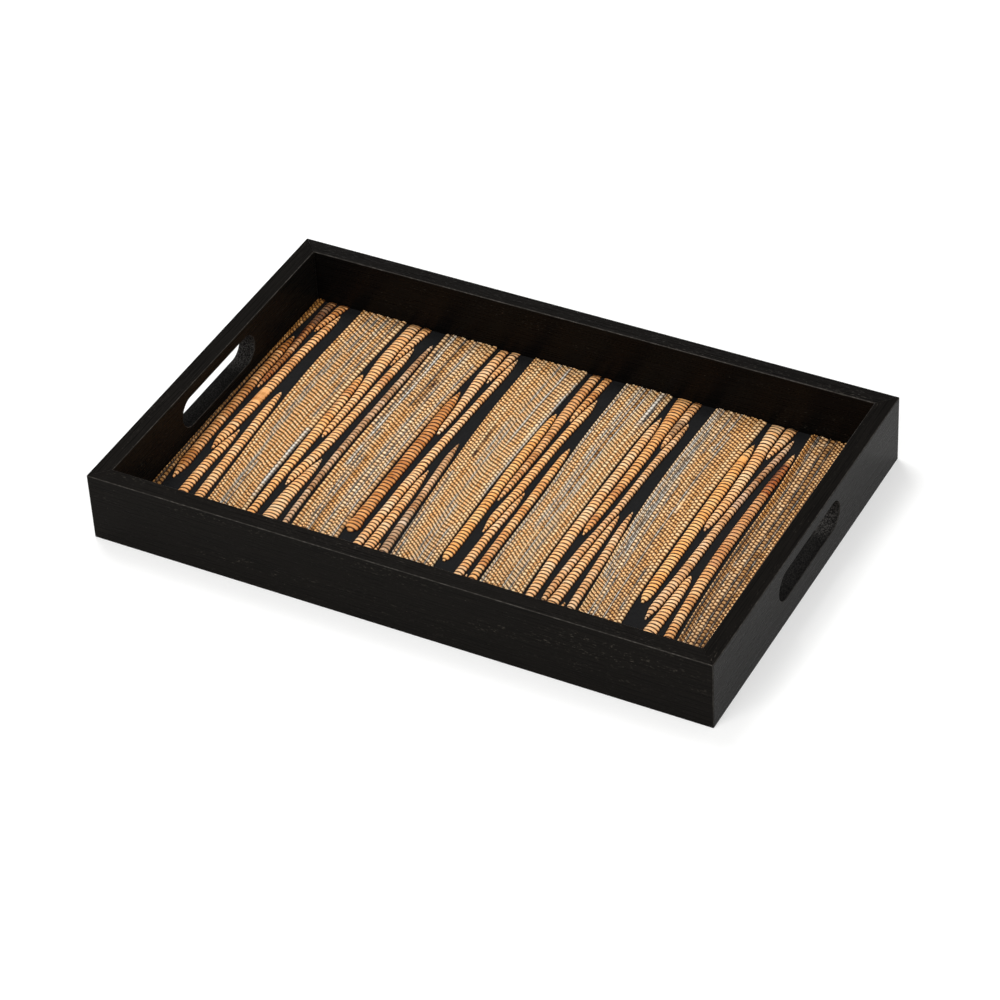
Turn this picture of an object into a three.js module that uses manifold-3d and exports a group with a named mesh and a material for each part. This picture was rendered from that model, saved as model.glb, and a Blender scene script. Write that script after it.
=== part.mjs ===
// Serving tray: a mitred black frame with hand slots, and a floor inlaid with water hyacinth.
// Millimetres, +Z up. X runs along the tray from the left hand slot to the right one, Y from the
// front rail to the back rail. The origin is the centre of the underside.

import * as THREE from "three";
import { mergeVertices } from "three/addons/utils/BufferGeometryUtils.js";
import Module from "manifold-3d";

// Frame
const TRAY_LENGTH = 460;
const TRAY_WIDTH = 299;
const TRAY_HEIGHT = 53;
const RAIL_THICKNESS = 13;
const EDGE_EASE = 0.8; // radius of the eased long edges of a rail
const CORNER_RADIUS = 1; // radius of the frame's upright outer corners
const MITRE_GAP = 0.2; // glue line between two mitred faces

// Hand slots in the end rails
const SLOT_LENGTH = 97.5;
const SLOT_HEIGHT = 23.2;
const SLOT_BELOW_RIM = 9.3; // wood left between the slot and the rim
const SLOT_EASE = 0.6; // radius of the slot's eased edges

// Loose tongues across the mitres
const SPLINE_THICKNESS = 3;
const SPLINE_WIDTH = 9; // across the mitre, half in each rail
const SPLINE_BELOW_RIM = 8;
const SPLINE_ABOVE_GROOVE = 5;
const SPLINE_CLEARANCE = 0.15;

// Base board, held in a groove round the inside of the rails
const BOARD_THICKNESS = 6;
const BOARD_ABOVE_TABLE = 4.4; // from the underside of the frame to the underside of the board
const GROOVE_DEPTH = 5;
const GROOVE_CLEARANCE = 0.2;

// Layers on the board
const CLOTH_THICKNESS = 0.6;
const FLOOR_CLEARANCE = 0.3; // from cloth, bands and stalks to the rails
const BAND_THICKNESS = 1.7;
const BAND_EDGE_EASE = 0.6;
const STALK_RISE = 2.2; // height of a stalk's crown over the cloth

// Layout of the inlay along the tray
const FIRST_GROUP_INSET = 1.1; // from the left end of the inlay to the first group's line
const GROUP_PITCH = 70.4;
const MARK_WIDTH = 1; // one mark of the layout below, across the tray
const LAST_BAND_LEAST = 12; // narrowest woven band that still closes the right end
const STALK_GAP = 0.9; // black line left between two stalks
const BAND_GAP = 0.7; // black line left between a band and a stalk

// Ends of a stalk
const BACK_TIP_LENGTH = 28;
const FRONT_TIP_LENGTH = 17;
const TIP_WIDTH = 0.9;
const TIP_FULLNESS = 0.65; // below 1 the tip is blunt, at 1 it is a plain sine
const TIP_RISE = 0.4; // height of the very tip, as a share of the crown's

// Fineness of the curved pieces
const STATION_STEP = 18; // along a stalk or a band
const ARCH_STEPS = 6; // across a stalk
const EASE_STEPS = 4; // round an eased edge
const SLOT_END_STEPS = 28; // round one end of a hand slot

// Derived places
const halfLength = TRAY_LENGTH / 2;
const halfWidth = TRAY_WIDTH / 2;
const boardBottom = BOARD_ABOVE_TABLE;
const boardTop = boardBottom + BOARD_THICKNESS;
const clothTop = boardTop + CLOTH_THICKNESS;
const insideLength = TRAY_LENGTH - 2 * RAIL_THICKNESS;
const insideWidth = TRAY_WIDTH - 2 * RAIL_THICKNESS;
const inlayLength = insideLength - 2 * FLOOR_CLEARANCE;
const inlayDepth = insideWidth - 2 * FLOOR_CLEARANCE;
const slotCentreHeight = TRAY_HEIGHT - SLOT_BELOW_RIM - SLOT_HEIGHT / 2;
const splineBottom = boardTop + GROOVE_CLEARANCE + SPLINE_ABOVE_GROOVE;
const splineTop = TRAY_HEIGHT - SPLINE_BELOW_RIM;

// The six groups of stalks. Across the tray everything is in layout marks from the group's own line.
// Along the depth, ends are in percent of the inlay's depth, from 0 at the front rail to 100 at the
// back rail. Every list of marks runs from the back end to the front end at even steps.
// leftEdge and rightEdge are the edges of the woven bands on either side of the group.
const GROUPS = [
  {
    leftEdge: [4.6, 0.6, 0.6, 3.4, 8.6],
    rightEdge: [35.8, 34.1, 36.4, 41.1, 45.6],
    stalks: [
      { back: 83, front: 19, spine: [5.4, 5.8, 7, 9], width: [7.4, 7.8, 8.2] },
      { back: 100, front: 60.1, spine: [11.2, 10.8, 12, 11.4], width: [7, 6.1, 4.8, 4.4] },
      { back: 100, front: 87, spine: [21, 18.7, 16], width: [8.2, 6, 4.4] },
      { back: 95.5, front: 33, spine: [24, 20.8, 19.7, 18.6, 17.4], width: [6.4, 7.2, 8, 8.4, 7] },
      { back: 42.6, front: 0, spine: [24.4, 22.9, 23.6, 24], width: [7, 7.8, 8.2] },
      { back: 60.6, front: 0, spine: [29.8, 32.6, 35.5, 38.6], width: [6.6, 7.4, 7.6] },
    ],
  },
  {
    leftEdge: [0.8, -1, -0.7, 0.4, 5.7],
    rightEdge: [33.6, 34.8, 34.2, 36.4, 41.2],
    stalks: [
      { back: 75.7, front: 12.4, spine: [2.2, 3.5, 4.8, 5.8, 7.2], width: [7.4, 7.9, 7.6, 6.8, 6] },
      { back: 100, front: 48.7, spine: [8.9, 8.2, 10.7, 10.6], width: [9.2, 9.8, 6.4, 5.4] },
      { back: 100, front: 82.3, spine: [18.6, 16.6, 14.6], width: [7.2, 5.6, 4.6] },
      { back: 90.7, front: 28.2, spine: [20.6, 19.3, 18.7, 17, 13.4], width: [6.4, 6.8, 6.6, 7.8, 6.4] },
      { back: 40.7, front: 0, spine: [22.4, 20.6, 21, 21.7], width: [7.4, 9.6, 11.6, 11.6] },
      { back: 94, front: 0, spine: [31, 30.2, 29.8, 32, 36.2], width: [4.6, 5.4, 5.2, 4.6, 4.6] },
    ],
  },
  {
    leftEdge: [3.6, 0.2, -0.3, 1.2, 5.8],
    rightEdge: [34.2, 33.5, 36.6, 41.6, 46.8],
    stalks: [
      { back: 79.5, front: 18.7, spine: [3.8, 5.6, 6.2, 6.8], width: [8, 9.2, 8.8, 8.6] },
      { back: 100, front: 61.3, spine: [10.6, 10.1, 11.6, 11.8], width: [6.4, 8.6, 6.4, 4.8] },
      { back: 100, front: 85.7, spine: [19, 17.8, 16], width: [6.8, 5.4, 4.4] },
      { back: 97.4, front: 0, spine: [23.6, 21, 18.8, 18.5, 18.5], width: [5.4, 5.6, 7.2, 6.8, 7] },
      { back: 47.6, front: 0, spine: [24.8, 26.1, 26.9, 27.4], width: [5.6, 6.8, 7.8, 7.8] },
      { back: 17.6, front: 0, spine: [32.2, 33.6], width: [4.4, 4.6] },
      { back: 60.2, front: 0, spine: [30.2, 33.6, 37.1, 41.8], width: [5.6, 5.4, 6.8, 6.8] },
    ],
  },
  {
    leftEdge: [4.8, 2.4, 1.5, 3.3, 7.4],
    rightEdge: [35.4, 34.9, 38, 38.9, 41.9],
    stalks: [
      { back: 81.2, front: 18.3, spine: [6, 6, 7.5, 8.6], width: [6.8, 7.2, 7.6, 7.8] },
      { back: 100, front: 44.4, spine: [12.4, 12.1, 13.4, 12.4], width: [7.2, 7.6, 5.6, 5] },
      { back: 100, front: 80.1, spine: [21.6, 20.3, 18.4], width: [6, 5.8, 4.4] },
      { back: 90.4, front: 32.1, spine: [25, 22.1, 20.8, 18.4], width: [6.8, 6, 6.7, 6.6] },
      { back: 49.6, front: 0, spine: [25.4, 23.9, 24.1, 24.4], width: [5.6, 6.3, 7, 7] },
      { back: 16.1, front: 0, spine: [29.4, 30.4], width: [3.6, 3.6] },
      { back: 69.8, front: 0, spine: [31.8, 33, 33.9, 36.4], width: [5.8, 6.4, 6.4, 6.4] },
    ],
  },
  {
    leftEdge: [0.8, -1.6, -1.9, -0.7, 3],
    rightEdge: [34.2, 32.9, 34.6, 40, 44.5],
    stalks: [
      { back: 90.6, front: 11.7, spine: [3.8, 3.5, 3.3, 4.3, 6.8], width: [6.6, 7, 7.4, 8.2, 7] },
      { back: 100, front: 41.1, spine: [10, 11, 11.8, 11.1, 10.4], width: [11, 7.8, 7.2, 6, 5.4] },
      { back: 100, front: 79.5, spine: [20, 19, 18], width: [6.6, 6.4, 4.6] },
      { back: 91.1, front: 13.5, spine: [24, 21.3, 20, 16.9, 16.6], width: [5.6, 5.5, 5.2, 6.2, 5.6] },
      { back: 51.2, front: 0, spine: [23.6, 23.9, 23, 22.5], width: [5.6, 6.5, 8.8, 9] },
      { back: 16.5, front: 0, spine: [30.4, 31.4], width: [4.6, 4.8] },
      { back: 53.8, front: 0, spine: [30.4, 33.4, 36, 39.5], width: [5.2, 6.2, 6.4, 6.4] },
    ],
  },
  {
    leftEdge: [2, -1, -0.9, 0.6, 4.6],
    rightEdge: [35.4, 38.3, 38.5, 40.8, 45.6],
    stalks: [
      { back: 90.2, front: 24.2, spine: [4.2, 4.3, 5.2, 5.8], width: [7.8, 8.5, 8.6, 8] },
      { back: 100, front: 54.7, spine: [10.6, 12.1, 13.2, 11.6], width: [10, 9, 7.3, 5.8] },
      { back: 100, front: 86.3, spine: [20.9, 20, 18], width: [8.4, 6.6, 4.6] },
      { back: 95.9, front: 19, spine: [27, 22.2, 19, 17.6, 14.6], width: [5.2, 5, 6, 7.4, 6.4] },
      { back: 37.9, front: 0, spine: [23.6, 23.8, 22.6, 22.1], width: [7.2, 8.2, 10.4, 10.6] },
      { back: 90.6, front: 0, spine: [33.6, 32.3, 32.2, 35, 39.1], width: [5.8, 7.3, 8.2, 7.3, 7.4] },
    ],
  },
];

// How many groups fit, and where each group's line lies.
const groupWidest = MARK_WIDTH * Math.max(...GROUPS.flatMap((group) => group.rightEdge));
const roomForLines = inlayLength - FIRST_GROUP_INSET - groupWidest - LAST_BAND_LEAST;
const groupCount = 1 + Math.max(0, Math.floor(roomForLines / GROUP_PITCH));
const groupLine = (index) => FIRST_GROUP_INSET + index * GROUP_PITCH - inlayLength / 2;

const stainedWood = { color: 0x1d1c1a, roughness: 0.5, metalness: 0 };
const stainedBoard = { color: 0x2a2622, roughness: 0.8, metalness: 0 };
const paleWood = { color: 0xb08d5f, roughness: 0.7, metalness: 0 };
const blackCloth = { color: 0x1f1f21, roughness: 0.95, metalness: 0 };
const wovenStraw = { color: 0xd2b081, roughness: 0.8, metalness: 0 };
const driedStalk = { color: 0xbf8d52, roughness: 0.6, metalness: 0 };

const wasm = await Module();
wasm.setup();

const tray = new THREE.Group();
tray.name = "water_hyacinth_tray";

function addPiece(name, geometry, finish) {
  const mesh = new THREE.Mesh(geometry, new THREE.MeshStandardMaterial(finish));
  mesh.name = name;
  tray.add(mesh);
}

// Three.js geometry to a solid that can be cut, and back.
function toSolid(geometry) {
  const bare = geometry.clone();
  bare.deleteAttribute("normal");
  bare.deleteAttribute("uv");
  const merged = mergeVertices(bare);
  const mesh = new wasm.Mesh({
    numProp: 3,
    vertProperties: new Float32Array(merged.attributes.position.array),
    triVerts: new Uint32Array(merged.index.array),
  });
  return new wasm.Manifold(mesh);
}

function toGeometry(solid) {
  const mesh = solid.getMesh();
  const geometry = new THREE.BufferGeometry();
  geometry.setAttribute("position", new THREE.BufferAttribute(mesh.vertProperties, 3));
  geometry.setIndex(new THREE.BufferAttribute(mesh.triVerts, 1));
  geometry.computeVertexNormals();
  return geometry;
}

// A closed skin over rings of equal point count; each ring turns left when seen from the last one.
function skinOver(rings) {
  const ringSize = rings[0].length;
  const indices = [];
  for (let ring = 0; ring + 1 < rings.length; ring += 1) {
    for (let point = 0; point < ringSize; point += 1) {
      const next = (point + 1) % ringSize;
      const here = ring * ringSize;
      const ahead = here + ringSize;
      indices.push(here + point, here + next, ahead + next);
      indices.push(here + point, ahead + next, ahead + point);
    }
  }
  const lastRing = (rings.length - 1) * ringSize;
  for (let point = 1; point + 1 < ringSize; point += 1) {
    indices.push(0, point + 1, point);
    indices.push(lastRing, lastRing + point, lastRing + point + 1);
  }
  const geometry = new THREE.BufferGeometry();
  const flat = rings.flat().flatMap((corner) => [corner.x, corner.y, corner.z]);
  geometry.setAttribute("position", new THREE.Float32BufferAttribute(flat, 3));
  geometry.setIndex(indices);
  geometry.computeVertexNormals();
  return geometry;
}

// Frame rails

// Section of a rail: x is the depth from the outer face, y the height.
function railSection() {
  const ease = EDGE_EASE;
  const inner = RAIL_THICKNESS;
  const top = TRAY_HEIGHT;
  const grooveLow = boardBottom - GROOVE_CLEARANCE;
  const grooveHigh = boardTop + GROOVE_CLEARANCE;
  const shape = new THREE.Shape();
  shape.moveTo(ease, 0);
  shape.lineTo(inner - ease, 0);
  shape.absarc(inner - ease, ease, ease, -Math.PI / 2, 0, false);
  shape.lineTo(inner, grooveLow);
  shape.lineTo(inner - GROOVE_DEPTH, grooveLow);
  shape.lineTo(inner - GROOVE_DEPTH, grooveHigh);
  shape.lineTo(inner, grooveHigh);
  shape.absarc(inner - ease, top - ease, ease, 0, Math.PI / 2, false);
  shape.absarc(ease, top - ease, ease, Math.PI / 2, Math.PI, false);
  shape.absarc(ease, ease, ease, Math.PI, 1.5 * Math.PI, false);
  return shape;
}

// A rail along X with its outer face towards -Y, its ends slid back with depth to cut the mitres.
function mitredRail(length, outerFace) {
  const setback = MITRE_GAP / Math.SQRT2;
  const options = { depth: length, curveSegments: EASE_STEPS, bevelEnabled: false };
  const geometry = new THREE.ExtrudeGeometry(railSection(), options);
  const corners = geometry.attributes.position;
  for (let index = 0; index < corners.count; index += 1) {
    const slide = corners.getX(index) + setback;
    const along = corners.getZ(index);
    corners.setZ(index, along > length / 2 ? length - slide : slide);
  }
  const lay = new THREE.Matrix4().makeBasis(
    new THREE.Vector3(0, 1, 0),
    new THREE.Vector3(0, 0, 1),
    new THREE.Vector3(1, 0, 0),
  );
  lay.setPosition(-length / 2, -outerFace, 0);
  return geometry.applyMatrix4(lay);
}

function roundedFrameBlock() {
  const radius = CORNER_RADIUS;
  const shape = new THREE.Shape();
  shape.absarc(halfLength - radius, halfWidth - radius, radius, 0, Math.PI / 2, false);
  shape.absarc(radius - halfLength, halfWidth - radius, radius, Math.PI / 2, Math.PI, false);
  shape.absarc(radius - halfLength, radius - halfWidth, radius, Math.PI, 1.5 * Math.PI, false);
  shape.absarc(halfLength - radius, radius - halfWidth, radius, 1.5 * Math.PI, 2 * Math.PI, false);
  const options = { depth: TRAY_HEIGHT, curveSegments: EASE_STEPS, bevelEnabled: false };
  return toSolid(new THREE.ExtrudeGeometry(shape, options));
}

// Round-ended outline of the hand slot in the YZ plane, grown by the given margin.
function slotRing(across, margin) {
  const radius = SLOT_HEIGHT / 2 + margin;
  const reach = SLOT_LENGTH / 2 - SLOT_HEIGHT / 2;
  const ring = [];
  for (let side = 0; side < 2; side += 1) {
    for (let step = 0; step <= SLOT_END_STEPS; step += 1) {
      const angle = Math.PI * (side + step / SLOT_END_STEPS) - Math.PI / 2;
      const centre = side === 0 ? reach : -reach;
      const along = centre + radius * Math.cos(angle);
      const height = slotCentreHeight + radius * Math.sin(angle);
      ring.push(new THREE.Vector3(across, along, height));
    }
  }
  return ring;
}

// What is cut away for a hand slot, flared at both faces so that its edges come out eased.
function slotCutter(innerFace) {
  const rings = [slotRing(innerFace - SLOT_EASE, SLOT_EASE)];
  for (let step = 0; step <= EASE_STEPS; step += 1) {
    const angle = (step / EASE_STEPS) * (Math.PI / 2);
    const depth = SLOT_EASE * (1 - Math.cos(angle));
    rings.push(slotRing(innerFace + depth, SLOT_EASE * (1 - Math.sin(angle))));
  }
  const outerFace = innerFace + RAIL_THICKNESS;
  for (let step = EASE_STEPS; step >= 0; step -= 1) {
    const angle = (step / EASE_STEPS) * (Math.PI / 2);
    const depth = SLOT_EASE * (1 - Math.cos(angle));
    rings.push(slotRing(outerFace - depth, SLOT_EASE * (1 - Math.sin(angle))));
  }
  rings.push(slotRing(outerFace + SLOT_EASE, SLOT_EASE));
  return toSolid(skinOver(rings));
}

// A tongue across the mitre at one corner, grown by the given margin.
function splineAt(sideX, sideY, margin) {
  const middle = RAIL_THICKNESS / 2;
  const thick = SPLINE_THICKNESS + 2 * margin;
  const wide = SPLINE_WIDTH + 2 * margin;
  const tall = splineTop - splineBottom + 2 * margin;
  const geometry = new THREE.BoxGeometry(thick, wide, tall);
  geometry.rotateZ(Math.atan2(sideY, sideX));
  const height = (splineTop + splineBottom) / 2;
  return geometry.translate(sideX * (halfLength - middle), sideY * (halfWidth - middle), height);
}

const CORNERS = [
  { name: "front_left", sideX: -1, sideY: -1 },
  { name: "front_right", sideX: 1, sideY: -1 },
  { name: "back_left", sideX: -1, sideY: 1 },
  { name: "back_right", sideX: 1, sideY: 1 },
];

const longRail = mitredRail(TRAY_LENGTH, halfWidth);
const endRail = mitredRail(TRAY_WIDTH, halfLength);
const RAILS = [
  { name: "front_rail", stock: longRail, turn: 0 },
  { name: "back_rail", stock: longRail, turn: Math.PI },
  { name: "left_end_rail", stock: endRail, turn: -Math.PI / 2, slotFace: -halfLength },
  { name: "right_end_rail", stock: endRail, turn: Math.PI / 2, slotFace: halfLength - RAIL_THICKNESS },
];

const frameBlock = roundedFrameBlock();
const splineSlots = CORNERS.map(({ sideX, sideY }) => toSolid(splineAt(sideX, sideY, SPLINE_CLEARANCE)));
for (const { name, stock, turn, slotFace } of RAILS) {
  let rail = toSolid(stock.clone().rotateZ(turn)).intersect(frameBlock);
  for (const slot of splineSlots) {
    rail = rail.subtract(slot);
  }
  if (slotFace !== undefined) {
    rail = rail.subtract(slotCutter(slotFace));
  }
  addPiece(name, toGeometry(rail), stainedWood);
}
for (const { name, sideX, sideY } of CORNERS) {
  addPiece(`spline_${name}`, splineAt(sideX, sideY, 0), paleWood);
}

// Board and cloth

function flatLayer(length, depth, thickness, bottom) {
  const geometry = new THREE.BoxGeometry(length, depth, thickness);
  return geometry.translate(0, 0, bottom + thickness / 2);
}

const boardReach = 2 * (GROOVE_DEPTH - GROOVE_CLEARANCE);
const board = flatLayer(insideLength + boardReach, insideWidth + boardReach, BOARD_THICKNESS, boardBottom);
addPiece("base_board", board, stainedBoard);
addPiece("ground_cloth", flatLayer(inlayLength, inlayDepth, CLOTH_THICKNESS, boardTop), blackCloth);

// Woven bands and stalks

// Smooth distance at a place from 0 to 1 along evenly spaced layout marks.
function markAlong(marks, place) {
  const last = marks.length - 1;
  const spot = Math.min(Math.max(place, 0), 1) * last;
  const index = Math.min(Math.floor(spot), last - 1);
  const share = spot - index;
  const pick = (offset) => marks[Math.min(Math.max(index + offset, 0), last)];
  const startSlope = (pick(1) - pick(-1)) / 2;
  const endSlope = (pick(2) - pick(0)) / 2;
  const rise = pick(1) - pick(0);
  const bend = 3 * rise - 2 * startSlope - endSlope;
  const twist = startSlope + endSlope - 2 * rise;
  return MARK_WIDTH * (pick(0) + share * (startSlope + share * (bend + share * twist)));
}

const depthPlace = (percent) => (percent / 100 - 0.5) * inlayDepth;
const stationCount = Math.ceil(inlayDepth / STATION_STEP);
const evenStations = Array.from({ length: stationCount + 1 }, (_, step) => (100 * step) / stationCount);

// Share of its full width that a stalk has at a distance from a pointed end.
function tipShare(distance, tipLength) {
  const share = Math.min(distance / tipLength, 1);
  return Math.sin((share * Math.PI) / 2) ** TIP_FULLNESS;
}

// Edges and height of one stalk at one depth, before its neighbours press on it.
function stalkAt(stalk, percent) {
  const place = (stalk.back - percent) / (stalk.back - stalk.front);
  const fromBack = ((stalk.back - percent) / 100) * inlayDepth;
  const fromFront = ((percent - stalk.front) / 100) * inlayDepth;
  const backShare = stalk.back < 100 ? tipShare(fromBack, BACK_TIP_LENGTH) : 1;
  const frontShare = stalk.front > 0 ? tipShare(fromFront, FRONT_TIP_LENGTH) : 1;
  const fullness = Math.min(backShare, frontShare);
  const width = TIP_WIDTH + (markAlong(stalk.width, place) - TIP_WIDTH) * fullness;
  const centre = markAlong(stalk.spine, place);
  const rise = STALK_RISE * (TIP_RISE + (1 - TIP_RISE) * fullness);
  return { percent, left: centre - width / 2, right: centre + width / 2, rise };
}

// Two neighbours that come too close both give way, each by its share of their widths.
function keepApart(one, other) {
  const excess = one.right + STALK_GAP - other.left;
  if (excess > 0) {
    const oneWidth = one.right - one.left;
    const otherWidth = other.right - other.left;
    const oneShare = oneWidth / (oneWidth + otherWidth);
    one.right -= excess * oneShare;
    other.left += excess * (1 - oneShare);
  }
}

// Stations of every stalk in a group, from back to front, with the black lines kept open.
function layGroup(group) {
  const ends = group.stalks.flatMap((stalk) => [stalk.back, stalk.front]);
  const percents = [...new Set([...evenStations, ...ends])].sort((one, other) => other - one);
  const laid = group.stalks.map(() => []);
  for (const percent of percents) {
    const present = [];
    group.stalks.forEach((stalk, index) => {
      if (percent <= stalk.back && percent >= stalk.front) {
        const station = stalkAt(stalk, percent);
        laid[index].push(station);
        present.push(station);
      }
    });
    for (let index = 1; index < present.length; index += 1) {
      keepApart(present[index - 1], present[index]);
    }
    const place = 1 - percent / 100;
    const leftLimit = markAlong(group.leftEdge, place) + BAND_GAP;
    const rightLimit = markAlong(group.rightEdge, place) - BAND_GAP;
    for (const station of present) {
      station.left = Math.max(station.left, leftLimit);
      station.right = Math.min(station.right, rightLimit);
    }
  }
  return laid;
}

// Flat-bottomed arch across a stalk, from its right foot over the crown to its left foot.
function archRing(station, line) {
  const ring = [];
  const middle = (station.left + station.right) / 2;
  const reach = (station.right - station.left) / 2;
  for (let step = 0; step <= ARCH_STEPS; step += 1) {
    const angle = (Math.PI * step) / ARCH_STEPS;
    const across = line + middle + reach * Math.cos(angle);
    const height = clothTop + station.rise * Math.sin(angle);
    ring.push(new THREE.Vector3(across, depthPlace(station.percent), height));
  }
  return ring;
}

// Flat strip across a woven band with its two upper edges eased.
function bandRing(left, right, percent) {
  const along = depthPlace(percent);
  const top = clothTop + BAND_THICKNESS;
  const shoulder = top - BAND_EDGE_EASE;
  return [
    new THREE.Vector3(right, along, clothTop),
    new THREE.Vector3(right, along, shoulder),
    new THREE.Vector3(right - BAND_EDGE_EASE, along, top),
    new THREE.Vector3(left + BAND_EDGE_EASE, along, top),
    new THREE.Vector3(left, along, shoulder),
    new THREE.Vector3(left, along, clothTop),
  ];
}

const groupAt = (index) => GROUPS[index % GROUPS.length];

for (let index = 0; index <= groupCount; index += 1) {
  const rings = evenStations.toReversed().map((percent) => {
    const place = 1 - percent / 100;
    const left = index === 0
      ? -inlayLength / 2
      : groupLine(index - 1) + markAlong(groupAt(index - 1).rightEdge, place);
    const right = index === groupCount
      ? inlayLength / 2
      : groupLine(index) + markAlong(groupAt(index).leftEdge, place);
    return bandRing(left, right, percent);
  });
  addPiece(`woven_band_${index + 1}`, skinOver(rings), wovenStraw);
}

for (let index = 0; index < groupCount; index += 1) {
  layGroup(groupAt(index)).forEach((stations, order) => {
    const letter = "abcdefgh"[order];
    const rings = stations.map((station) => archRing(station, groupLine(index)));
    addPiece(`stalk_${index + 1}${letter}`, skinOver(rings), driedStalk);
  });
}

export default tray;
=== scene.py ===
"""Looks of a serving tray with a black wooden frame and a floor of dried hyacinth stalks and woven bands."""
import math

import bpy
import numpy as np
from mathutils import Matrix, Vector


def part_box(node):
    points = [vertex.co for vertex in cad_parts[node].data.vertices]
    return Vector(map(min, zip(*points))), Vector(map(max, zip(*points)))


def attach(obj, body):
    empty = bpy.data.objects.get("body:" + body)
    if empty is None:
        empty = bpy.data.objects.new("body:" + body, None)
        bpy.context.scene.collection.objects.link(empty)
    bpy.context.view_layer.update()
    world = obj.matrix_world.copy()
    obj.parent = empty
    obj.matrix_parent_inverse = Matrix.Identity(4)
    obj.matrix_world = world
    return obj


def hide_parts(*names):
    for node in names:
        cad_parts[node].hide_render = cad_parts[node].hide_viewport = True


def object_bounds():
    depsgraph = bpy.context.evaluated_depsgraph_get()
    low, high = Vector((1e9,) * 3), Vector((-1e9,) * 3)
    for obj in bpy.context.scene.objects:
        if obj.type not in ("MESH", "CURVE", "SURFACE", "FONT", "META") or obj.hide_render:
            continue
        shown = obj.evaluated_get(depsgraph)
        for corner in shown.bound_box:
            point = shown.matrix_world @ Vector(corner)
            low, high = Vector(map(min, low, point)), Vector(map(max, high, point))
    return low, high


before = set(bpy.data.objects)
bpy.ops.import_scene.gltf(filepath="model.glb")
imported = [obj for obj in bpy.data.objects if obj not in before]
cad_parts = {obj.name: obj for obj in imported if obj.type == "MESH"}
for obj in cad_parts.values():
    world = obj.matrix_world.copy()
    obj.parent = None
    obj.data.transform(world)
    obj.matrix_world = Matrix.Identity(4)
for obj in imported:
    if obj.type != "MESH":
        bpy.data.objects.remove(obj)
cad_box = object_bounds()

MM = 0.001
SEED = 41
BAND_SEED = 100  # keeps the bands' random numbers apart from the stalks'

# Places read from the frame
CLOTH_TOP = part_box("ground_cloth")[1].z
FLOOR_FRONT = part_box("ground_cloth")[0].y
FLOOR_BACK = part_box("ground_cloth")[1].y
RIM_TOP = cad_box[1].z

# Box round each hand slot, a little larger than the cut
SLOT_LOW = 17 * MM
SLOT_HIGH = RIM_TOP - 7 * MM
SLOT_END = 51 * MM

# The view, fitted to the seven corners of the frame that show. The image is taken to be 1000 by 1000.
VIEW_AZIMUTH = math.radians(29.4008)
VIEW_ELEVATION = math.radians(39.0981)
VIEW_ROLL = math.radians(-3.2785)
VIEW_DISTANCE = 2.58985
VIEW_TARGET = Vector((0.002147, -0.002056, 0.0))
VIEW_LENS_MM = 137.44
VIEW_SENSOR_MM = 36.0

# The studio: lamps have a name, a place and a side in metres, and watts
SOFTBOXES = (
    ("right_softbox", (1.4, -0.5, 1.75), 1.2, 16.0),
    ("front_softbox", (-0.3, -1.6, 1.3), 1.0, 20.0),
    ("back_softbox", (-0.8, 0.7, 2.15), 1.0, 30.0),
)
WALL_LIGHT = (0.30, 1.0)  # height of the walls, as the upright share of a direction, and their brightness
CEILING_LIGHT = (0.52, 0.17)
PAPER_RADIUS = 7.0  # metres
PAPER_CORNERS = 96
PAPER_GAP = 0.05 * MM  # keeps the paper clear of the rails' undersides
PAPER_LIFT = 0.42  # light added to the paper where it is seen

# Finish of the rails: refractive index of the oil film, thin on most rails and fuller on the back one
THIN_OIL = 1.09
FULL_OIL = 1.15

# The ground cloth
CLOTH_GRID = (120, 78)  # points along and across
CLOTH_RIPPLE = 0.04 * MM  # half the height of the waves that the glue leaves
RIPPLE_LENGTHS = (7 * MM, 9 * MM)

# The weave: one set of cross threads binds stalks and bands alike
RIB_PITCH = 3.4 * MM
PITCH_SPREAD = 0.08  # share by which one rib differs from the next
PITCH_LIMITS = (0.8, 1.2)  # shortest and longest rib, as shares of the pitch
FIRST_THREAD = (0.2, 0.9)  # least and most that the first thread lies before the front end, in ribs
SPARE_RIBS = 3  # ribs laid out beyond the length, so that both ends are covered
END_ROOM = 0.1 * RIB_PITCH  # rows nearer than this to an end are left out
ROWS_PER_RIB = 10
CROWN_FORWARD = 0.85  # power below 1 that draws the crown of a rib towards the front
DRIFT_SINES = 4  # sines that add up to a slow random curve
DRIFT_LENGTHS = (0.6, 1.7)  # the shortest and the longest of them, as shares of the curve's length

# Shape of a stalk
STALK_POINTS = 15  # across one stalk
STALK_SWELL = 1.2  # height of a dried stalk against its plain solid
STALK_CROWN = 0.42  # power of the sine along a rib: the lower, the flatter the crown
STALK_GROOVE = 0.38  # depth of a thread's groove, as a share of the height there
STALK_PINCH = (0.15, 0.27)  # how far a thread darkens the rib behind it and the rib before it, in ribs
DOME_POWER = 0.45  # power of the fall across a stalk: the lower, the flatter the stalk
EDGE_POWER = 6  # power of the place across, from -1 to 1, that is felt only near a stalk's edges
FOOT_POWER = 10  # and one that is felt only at its feet
EDGE_SCALLOP = 0.22 * MM  # how far a stalk's outline draws in under a thread
RIB_BOW = 0.45 * MM  # how far the edges of a rib trail behind its crown, towards the front
BOW_ROUND = 0.4  # share of that bow that is round; the rest bends only near the edges
RIB_LEAN = 0.1  # slow turn of the ribs to one side, as a slope
LEAN_LENGTH = 60 * MM
HEIGHT_DRIFT = 0.05  # slow change of a stalk's height, as a share
HEIGHT_LENGTH = 30 * MM
PRESSED_END = 0.3  # height left where a rail presses a stalk's cut end
PRESSED_LENGTH = 6 * MM  # and the length it takes to rise from there
END_TOLERANCE = 4 * MM  # a stalk that ends nearer than this to a rail is cut off there
THREAD_BITE = (0.85, 1.0)  # least and most that a thread pinches
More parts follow.
